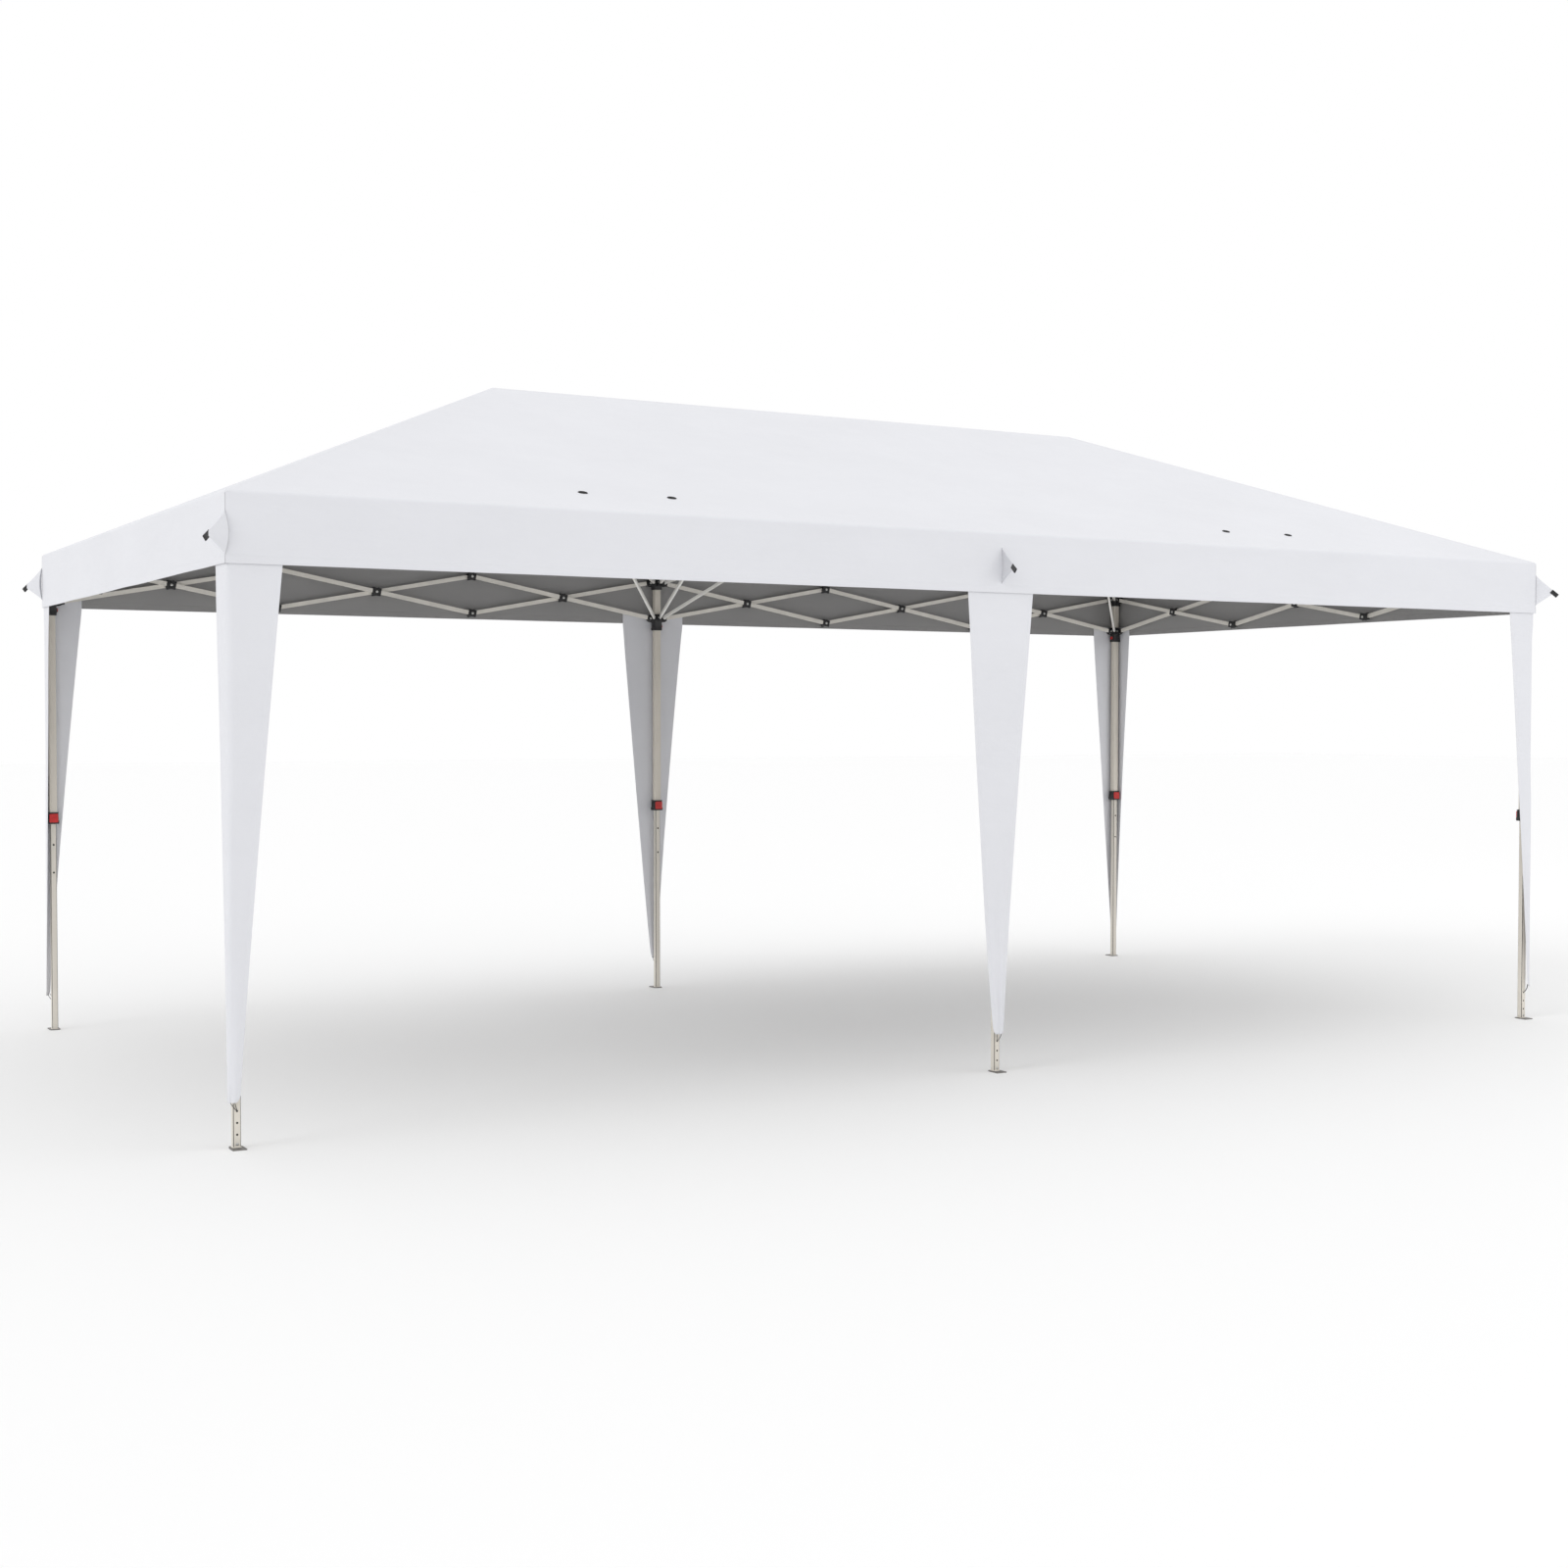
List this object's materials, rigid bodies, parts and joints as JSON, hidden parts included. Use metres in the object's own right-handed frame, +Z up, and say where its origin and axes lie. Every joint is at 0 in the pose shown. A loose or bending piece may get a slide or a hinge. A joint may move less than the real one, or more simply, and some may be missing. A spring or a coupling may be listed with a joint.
{
  "type": "pop up canopy",
  "caption": "Rectangular pop-up canopy: white hip roof with valance and leg skirts on a folding scissor-truss frame with telescoping legs.",
  "frame": {"origin": "on the ground under the middle of the roof", "axes": "+X along the long side, +Y to the rear, +Z up"},
  "size_m": [5.852, 2.984, 2.676],
  "materials": {
    "outer_tube": "satin",
    "inner_tube": "satin",
    "bar_steel": "satin",
    "rib_steel": "satin",
    "black_plastic": "satin",
    "white_polyester": "matte"
  },
  "bodies": {
    "leg_rear_left": {"upper_leg_rear_left": "outer_tube", "roof_ribs_left": "rib_steel"},
    "inner_rear_left": {"lower_leg_rear_left": "inner_tube"},
    "slider_rear_left": {"slider_rear_left": "black_plastic"},
    "leg_rear_middle": {"upper_leg_rear_middle": "outer_tube", "roof_ribs_middle": "rib_steel", "canopy_cover": "white_polyester"},
    "inner_rear_middle": {"lower_leg_rear_middle": "inner_tube"},
    "slider_rear_middle": {"slider_rear_middle": "black_plastic"},
    "leg_rear_right": {"upper_leg_rear_right": "outer_tube", "roof_ribs_right": "rib_steel"},
    "inner_rear_right": {"lower_leg_rear_right": "inner_tube"},
    "slider_rear_right": {"slider_rear_right": "black_plastic"},
    "leg_front_left": {"upper_leg_front_left": "outer_tube"},
    "inner_front_left": {"lower_leg_front_left": "inner_tube"},
    "slider_front_left": {"slider_front_left": "black_plastic"},
    "leg_front_middle": {"upper_leg_front_middle": "outer_tube"},
    "inner_front_middle": {"lower_leg_front_middle": "inner_tube"},
    "slider_front_middle": {"slider_front_middle": "black_plastic"},
    "leg_front_right": {"upper_leg_front_right": "outer_tube"},
    "inner_front_right": {"lower_leg_front_right": "inner_tube"},
    "slider_front_right": {"slider_front_right": "black_plastic"},
    "rear_left_bar_1a": {"rear_left_bar_1a": "bar_steel"},
    "rear_left_bar_1b": {"rear_left_bar_1b": "bar_steel"},
    "rear_left_bar_2a": {"rear_left_bar_2a": "bar_steel"},
    "rear_left_bar_2b": {"rear_left_bar_2b": "bar_steel"},
    "rear_left_bar_3a": {"rear_left_bar_3a": "bar_steel"},
    "rear_left_bar_3b": {"rear_left_bar_3b": "bar_steel"},
    "rear_right_bar_1a": {"rear_right_bar_1a": "bar_steel"},
    "rear_right_bar_1b": {"rear_right_bar_1b": "bar_steel"},
    "rear_right_bar_2a": {"rear_right_bar_2a": "bar_steel"},
    "rear_right_bar_2b": {"rear_right_bar_2b": "bar_steel"},
    "rear_right_bar_3a": {"rear_right_bar_3a": "bar_steel"},
    "rear_right_bar_3b": {"rear_right_bar_3b": "bar_steel"},
    "side_left_bar_1a": {"side_left_bar_1a": "bar_steel"},
    "side_left_bar_1b": {"side_left_bar_1b": "bar_steel"},
    "side_left_bar_2a": {"side_left_bar_2a": "bar_steel"},
    "side_left_bar_2b": {"side_left_bar_2b": "bar_steel"},
    "side_left_bar_3a": {"side_left_bar_3a": "bar_steel"},
    "side_left_bar_3b": {"side_left_bar_3b": "bar_steel"},
    "side_right_bar_1a": {"side_right_bar_1a": "bar_steel"},
    "side_right_bar_1b": {"side_right_bar_1b": "bar_steel"},
    "side_right_bar_2a": {"side_right_bar_2a": "bar_steel"},
    "side_right_bar_2b": {"side_right_bar_2b": "bar_steel"},
    "side_right_bar_3a": {"side_right_bar_3a": "bar_steel"},
    "side_right_bar_3b": {"side_right_bar_3b": "bar_steel"},
    "front_left_bar_1a": {"front_left_bar_1a": "bar_steel"},
    "front_left_bar_1b": {"front_left_bar_1b": "bar_steel"},
    "front_left_bar_2a": {"front_left_bar_2a": "bar_steel"},
    "front_left_bar_2b": {"front_left_bar_2b": "bar_steel"},
    "front_left_bar_3a": {"front_left_bar_3a": "bar_steel"},
    "front_left_bar_3b": {"front_left_bar_3b": "bar_steel"},
    "front_right_bar_1a": {"front_right_bar_1a": "bar_steel"},
    "front_right_bar_1b": {"front_right_bar_1b": "bar_steel"},
    "front_right_bar_2a": {"front_right_bar_2a": "bar_steel"},
    "front_right_bar_2b": {"front_right_bar_2b": "bar_steel"},
    "front_right_bar_3a": {"front_right_bar_3a": "bar_steel"},
    "front_right_bar_3b": {"front_right_bar_3b": "bar_steel"}
  },
  "joints": [
    {"name": "frame_fold", "type": "hinge", "parent": "leg_rear_middle", "child": "rear_left_bar_1a", "pos_m": [-0.04, 1.447, 2.021], "axis": [0, -1, 0], "range_deg": [0, 75], "deforming": ["canopy_cover", "roof_ribs_left", "roof_ribs_middle", "roof_ribs_right"]},
    {"name": "rear_left_bar_1b_pivot", "type": "hinge", "parent": "rear_left_bar_1a", "child": "rear_left_bar_1b", "pos_m": [-0.51, 1.447, 1.9335], "axis": [0, -1, 0], "range_deg": [-150, 0]},
    {"name": "rear_left_bar_2a_pivot", "type": "hinge", "parent": "rear_left_bar_1a", "child": "rear_left_bar_2a", "pos_m": [-0.98, 1.447, 1.846], "axis": [0, -1, 0], "range_deg": [-150, 0]},
    {"name": "rear_left_bar_2b_pivot", "type": "hinge", "parent": "rear_left_bar_2a", "child": "rear_left_bar_2b", "pos_m": [-1.45, 1.447, 1.9335], "axis": [0, -1, 0], "range_deg": [0, 150]},
    {"name": "rear_left_bar_3a_pivot", "type": "hinge", "parent": "rear_left_bar_2a", "child": "rear_left_bar_3a", "pos_m": [-1.92, 1.447, 2.021], "axis": [0, -1, 0], "range_deg": [0, 150]},
    {"name": "rear_left_bar_3b_pivot", "type": "hinge", "parent": "rear_left_bar_3a", "child": "rear_left_bar_3b", "pos_m": [-2.39, 1.447, 1.9335], "axis": [0, -1, 0], "range_deg": [-150, 0]},
    {"name": "slider_rear_middle_pivot", "type": "hinge", "parent": "rear_left_bar_1b", "child": "slider_rear_middle", "pos_m": [-0.04, 1.447, 1.846], "axis": [0, -1, 0], "range_deg": [0, 75]},
    {"name": "leg_rear_left_pivot", "type": "hinge", "parent": "rear_left_bar_3b", "child": "leg_rear_left", "pos_m": [-2.86, 1.447, 2.021], "axis": [0, -1, 0], "range_deg": [0, 75]},
    {"name": "slider_rear_left_pivot", "type": "hinge", "parent": "rear_left_bar_3a", "child": "slider_rear_left", "pos_m": [-2.86, 1.447, 1.846], "axis": [0, -1, 0], "range_deg": [-75, 0]},
    {"name": "rear_right_bar_1a_pivot", "type": "hinge", "parent": "leg_rear_middle", "child": "rear_right_bar_1a", "pos_m": [0.04, 1.447, 2.021], "axis": [0, 1, 0], "range_deg": [0, 75]},
    {"name": "rear_right_bar_1b_pivot", "type": "hinge", "parent": "rear_right_bar_1a", "child": "rear_right_bar_1b", "pos_m": [0.51, 1.447, 1.9335], "axis": [0, 1, 0], "range_deg": [-150, 0]},
    {"name": "rear_right_bar_2a_pivot", "type": "hinge", "parent": "rear_right_bar_1a", "child": "rear_right_bar_2a", "pos_m": [0.98, 1.447, 1.846], "axis": [0, 1, 0], "range_deg": [-150, 0]},
    {"name": "rear_right_bar_2b_pivot", "type": "hinge", "parent": "rear_right_bar_2a", "child": "rear_right_bar_2b", "pos_m": [1.45, 1.447, 1.9335], "axis": [0, 1, 0], "range_deg": [0, 150]},
    {"name": "rear_right_bar_3a_pivot", "type": "hinge", "parent": "rear_right_bar_2a", "child": "rear_right_bar_3a", "pos_m": [1.92, 1.447, 2.021], "axis": [0, 1, 0], "range_deg": [0, 150]},
    {"name": "rear_right_bar_3b_pivot", "type": "hinge", "parent": "rear_right_bar_3a", "child": "rear_right_bar_3b", "pos_m": [2.39, 1.447, 1.9335], "axis": [0, 1, 0], "range_deg": [-150, 0]},
    {"name": "leg_rear_right_pivot", "type": "hinge", "parent": "rear_right_bar_3b", "child": "leg_rear_right", "pos_m": [2.86, 1.447, 2.021], "axis": [0, 1, 0], "range_deg": [0, 75]},
    {"name": "slider_rear_right_pivot", "type": "hinge", "parent": "rear_right_bar_3a", "child": "slider_rear_right", "pos_m": [2.86, 1.447, 1.846], "axis": [0, 1, 0], "range_deg": [-75, 0]},
    {"name": "side_left_bar_1a_pivot", "type": "hinge", "parent": "leg_rear_left", "child": "side_left_bar_1a", "pos_m": [-2.9, 1.41, 2.021], "axis": [1, 0, 0], "range_deg": [0, 75]},
    {"name": "side_left_bar_1b_pivot", "type": "hinge", "parent": "side_left_bar_1a", "child": "side_left_bar_1b", "pos_m": [-2.9, 0.94, 1.9335], "axis": [1, 0, 0], "range_deg": [-150, 0]},
    {"name": "side_left_bar_2a_pivot", "type": "hinge", "parent": "side_left_bar_1a", "child": "side_left_bar_2a", "pos_m": [-2.9, 0.47, 1.846], "axis": [1, 0, 0], "range_deg": [-150, 0]},
    {"name": "side_left_bar_2b_pivot", "type": "hinge", "parent": "side_left_bar_2a", "child": "side_left_bar_2b", "pos_m": [-2.9, 0, 1.9335], "axis": [1, 0, 0], "range_deg": [0, 150]},
    {"name": "side_left_bar_3a_pivot", "type": "hinge", "parent": "side_left_bar_2a", "child": "side_left_bar_3a", "pos_m": [-2.9, -0.47, 2.021], "axis": [1, 0, 0], "range_deg": [0, 150]},
    {"name": "side_left_bar_3b_pivot", "type": "hinge", "parent": "side_left_bar_3a", "child": "side_left_bar_3b", "pos_m": [-2.9, -0.94, 1.9335], "axis": [1, 0, 0], "range_deg": [-150, 0]},
    {"name": "leg_front_left_pivot", "type": "hinge", "parent": "side_left_bar_3b", "child": "leg_front_left", "pos_m": [-2.9, -1.41, 2.021], "axis": [1, 0, 0], "range_deg": [0, 75]},
    {"name": "slider_front_left_pivot", "type": "hinge", "parent": "side_left_bar_3a", "child": "slider_front_left", "pos_m": [-2.9, -1.41, 1.846], "axis": [1, 0, 0], "range_deg": [-75, 0]},
    {"name": "side_right_bar_1a_pivot", "type": "hinge", "parent": "leg_rear_right", "child": "side_right_bar_1a", "pos_m": [2.9, 1.41, 2.021], "axis": [1, 0, 0], "range_deg": [0, 75]},
    {"name": "side_right_bar_1b_pivot", "type": "hinge", "parent": "side_right_bar_1a", "child": "side_right_bar_1b", "pos_m": [2.9, 0.94, 1.9335], "axis": [1, 0, 0], "range_deg": [-150, 0]},
    {"name": "side_right_bar_2a_pivot", "type": "hinge", "parent": "side_right_bar_1a", "child": "side_right_bar_2a", "pos_m": [2.9, 0.47, 1.846], "axis": [1, 0, 0], "range_deg": [-150, 0]},
    {"name": "side_right_bar_2b_pivot", "type": "hinge", "parent": "side_right_bar_2a", "child": "side_right_bar_2b", "pos_m": [2.9, 0, 1.9335], "axis": [1, 0, 0], "range_deg": [0, 150]},
    {"name": "side_right_bar_3a_pivot", "type": "hinge", "parent": "side_right_bar_2a", "child": "side_right_bar_3a", "pos_m": [2.9, -0.47, 2.021], "axis": [1, 0, 0], "range_deg": [0, 150]},
    {"name": "side_right_bar_3b_pivot", "type": "hinge", "parent": "side_right_bar_3a", "child": "side_right_bar_3b", "pos_m": [2.9, -0.94, 1.9335], "axis": [1, 0, 0], "range_deg": [-150, 0]},
    {"name": "leg_front_right_pivot", "type": "hinge", "parent": "side_right_bar_3b", "child": "leg_front_right", "pos_m": [2.9, -1.41, 2.021], "axis": [1, 0, 0], "range_deg": [0, 75]},
    {"name": "slider_front_right_pivot", "type": "hinge", "parent": "side_right_bar_3a", "child": "slider_front_right", "pos_m": [2.9, -1.41, 1.846], "axis": [1, 0, 0], "range_deg": [-75, 0]},
    {"name": "front_left_bar_1a_pivot", "type": "hinge", "parent": "leg_front_left", "child": "front_left_bar_1a", "pos_m": [-2.86, -1.447, 2.021], "axis": [0, 1, 0], "range_deg": [0, 75]},
    {"name": "front_left_bar_1b_pivot", "type": "hinge", "parent": "front_left_bar_1a", "child": "front_left_bar_1b", "pos_m": [-2.39, -1.447, 1.9335], "axis": [0, 1, 0], "range_deg": [-150, 0]},
    {"name": "front_left_bar_2a_pivot", "type": "hinge", "parent": "front_left_bar_1a", "child": "front_left_bar_2a", "pos_m": [-1.92, -1.447, 1.846], "axis": [0, 1, 0], "range_deg": [-150, 0]},
    {"name": "front_left_bar_2b_pivot", "type": "hinge", "parent": "front_left_bar_2a", "child": "front_left_bar_2b", "pos_m": [-1.45, -1.447, 1.9335], "axis": [0, 1, 0], "range_deg": [0, 150]},
    {"name": "front_left_bar_3a_pivot", "type": "hinge", "parent": "front_left_bar_2a", "child": "front_left_bar_3a", "pos_m": [-0.98, -1.447, 2.021], "axis": [0, 1, 0], "range_deg": [0, 150]},
    {"name": "front_left_bar_3b_pivot", "type": "hinge", "parent": "front_left_bar_3a", "child": "front_left_bar_3b", "pos_m": [-0.51, -1.447, 1.9335], "axis": [0, 1, 0], "range_deg": [-150, 0]},
    {"name": "leg_front_middle_pivot", "type": "hinge", "parent": "front_left_bar_3b", "child": "leg_front_middle", "pos_m": [-0.04, -1.447, 2.021], "axis": [0, 1, 0], "range_deg": [0, 75]},
    {"name": "slider_front_middle_pivot", "type": "hinge", "parent": "front_left_bar_3a", "child": "slider_front_middle", "pos_m": [-0.04, -1.447, 1.846], "axis": [0, 1, 0], "range_deg": [-75, 0]},
    {"name": "front_right_bar_1a_pivot", "type": "hinge", "parent": "leg_front_right", "child": "front_right_bar_1a", "pos_m": [2.86, -1.447, 2.021], "axis": [0, -1, 0], "range_deg": [0, 75]},
    {"name": "front_right_bar_1b_pivot", "type": "hinge", "parent": "front_right_bar_1a", "child": "front_right_bar_1b", "pos_m": [2.39, -1.447, 1.9335], "axis": [0, -1, 0], "range_deg": [-150, 0]},
    {"name": "front_right_bar_2a_pivot", "type": "hinge", "parent": "front_right_bar_1a", "child": "front_right_bar_2a", "pos_m": [1.92, -1.447, 1.846], "axis": [0, -1, 0], "range_deg": [-150, 0]},
    {"name": "front_right_bar_2b_pivot", "type": "hinge", "parent": "front_right_bar_2a", "child": "front_right_bar_2b", "pos_m": [1.45, -1.447, 1.9335], "axis": [0, -1, 0], "range_deg": [0, 150]},
    {"name": "front_right_bar_3a_pivot", "type": "hinge", "parent": "front_right_bar_2a", "child": "front_right_bar_3a", "pos_m": [0.98, -1.447, 2.021], "axis": [0, -1, 0], "range_deg": [0, 150]},
    {"name": "front_right_bar_3b_pivot", "type": "hinge", "parent": "front_right_bar_3a", "child": "front_right_bar_3b", "pos_m": [0.51, -1.447, 1.9335], "axis": [0, -1, 0], "range_deg": [-150, 0]},
    {"name": "leg_rear_left_height", "type": "slide", "parent": "leg_rear_left", "child": "inner_rear_left", "axis": [0, 0, 1], "range_m": [0, 0.72]},
    {"name": "leg_rear_middle_height", "type": "slide", "parent": "leg_rear_middle", "child": "inner_rear_middle", "axis": [0, 0, 1], "range_m": [0, 0.72]},
    {"name": "leg_rear_right_height", "type": "slide", "parent": "leg_rear_right", "child": "inner_rear_right", "axis": [0, 0, 1], "range_m": [0, 0.72]},
    {"name": "leg_front_left_height", "type": "slide", "parent": "leg_front_left", "child": "inner_front_left", "axis": [0, 0, 1], "range_m": [0, 0.72]},
    {"name": "leg_front_middle_height", "type": "slide", "parent": "leg_front_middle", "child": "inner_front_middle", "axis": [0, 0, 1], "range_m": [0, 0.72]},
    {"name": "leg_front_right_height", "type": "slide", "parent": "leg_front_right", "child": "inner_front_right", "axis": [0, 0, 1], "range_m": [0, 0.72]}
  ],
  "couplings": [
    {"joint": "rear_left_bar_1b_pivot", "follows": "frame_fold", "ratio": -2},
    {"joint": "rear_left_bar_2a_pivot", "follows": "frame_fold", "ratio": -2},
    {"joint": "rear_left_bar_2b_pivot", "follows": "frame_fold", "ratio": 2},
    {"joint": "rear_left_bar_3a_pivot", "follows": "frame_fold", "ratio": 2},
    {"joint": "rear_left_bar_3b_pivot", "follows": "frame_fold", "ratio": -2},
    {"joint": "slider_rear_middle_pivot", "follows": "frame_fold", "ratio": 1},
    {"joint": "leg_rear_left_pivot", "follows": "frame_fold", "ratio": 1},
    {"joint": "slider_rear_left_pivot", "follows": "frame_fold", "ratio": -1},
    {"joint": "rear_right_bar_1a_pivot", "follows": "frame_fold", "ratio": 1},
    {"joint": "rear_right_bar_1b_pivot", "follows": "frame_fold", "ratio": -2},
    {"joint": "rear_right_bar_2a_pivot", "follows": "frame_fold", "ratio": -2},
    {"joint": "rear_right_bar_2b_pivot", "follows": "frame_fold", "ratio": 2},
    {"joint": "rear_right_bar_3a_pivot", "follows": "frame_fold", "ratio": 2},
    {"joint": "rear_right_bar_3b_pivot", "follows": "frame_fold", "ratio": -2},
    {"joint": "leg_rear_right_pivot", "follows": "frame_fold", "ratio": 1},
    {"joint": "slider_rear_right_pivot", "follows": "frame_fold", "ratio": -1},
    {"joint": "side_left_bar_1a_pivot", "follows": "frame_fold", "ratio": 1},
    {"joint": "side_left_bar_1b_pivot", "follows": "frame_fold", "ratio": -2},
    {"joint": "side_left_bar_2a_pivot", "follows": "frame_fold", "ratio": -2},
    {"joint": "side_left_bar_2b_pivot", "follows": "frame_fold", "ratio": 2},
    {"joint": "side_left_bar_3a_pivot", "follows": "frame_fold", "ratio": 2},
    {"joint": "side_left_bar_3b_pivot", "follows": "frame_fold", "ratio": -2},
    {"joint": "leg_front_left_pivot", "follows": "frame_fold", "ratio": 1},
    {"joint": "slider_front_left_pivot", "follows": "frame_fold", "ratio": -1},
    {"joint": "side_right_bar_1a_pivot", "follows": "frame_fold", "ratio": 1},
    {"joint": "side_right_bar_1b_pivot", "follows": "frame_fold", "ratio": -2},
    {"joint": "side_right_bar_2a_pivot", "follows": "frame_fold", "ratio": -2},
    {"joint": "side_right_bar_2b_pivot", "follows": "frame_fold", "ratio": 2},
    {"joint": "side_right_bar_3a_pivot", "follows": "frame_fold", "ratio": 2},
    {"joint": "side_right_bar_3b_pivot", "follows": "frame_fold", "ratio": -2},
    {"joint": "leg_front_right_pivot", "follows": "frame_fold", "ratio": 1},
    {"joint": "slider_front_right_pivot", "follows": "frame_fold", "ratio": -1},
    {"joint": "front_left_bar_1a_pivot", "follows": "frame_fold", "ratio": 1},
    {"joint": "front_left_bar_1b_pivot", "follows": "frame_fold", "ratio": -2},
    {"joint": "front_left_bar_2a_pivot", "follows": "frame_fold", "ratio": -2},
    {"joint": "front_left_bar_2b_pivot", "follows": "frame_fold", "ratio": 2},
    {"joint": "front_left_bar_3a_pivot", "follows": "frame_fold", "ratio": 2},
    {"joint": "front_left_bar_3b_pivot", "follows": "frame_fold", "ratio": -2},
    {"joint": "leg_front_middle_pivot", "follows": "frame_fold", "ratio": 1},
    {"joint": "slider_front_middle_pivot", "follows": "frame_fold", "ratio": -1},
    {"joint": "front_right_bar_1a_pivot", "follows": "frame_fold", "ratio": 1},
    {"joint": "front_right_bar_1b_pivot", "follows": "frame_fold", "ratio": -2},
    {"joint": "front_right_bar_2a_pivot", "follows": "frame_fold", "ratio": -2},
    {"joint": "front_right_bar_2b_pivot", "follows": "frame_fold", "ratio": 2},
    {"joint": "front_right_bar_3a_pivot", "follows": "frame_fold", "ratio": 2},
    {"joint": "front_right_bar_3b_pivot", "follows": "frame_fold", "ratio": -2}
  ]
}
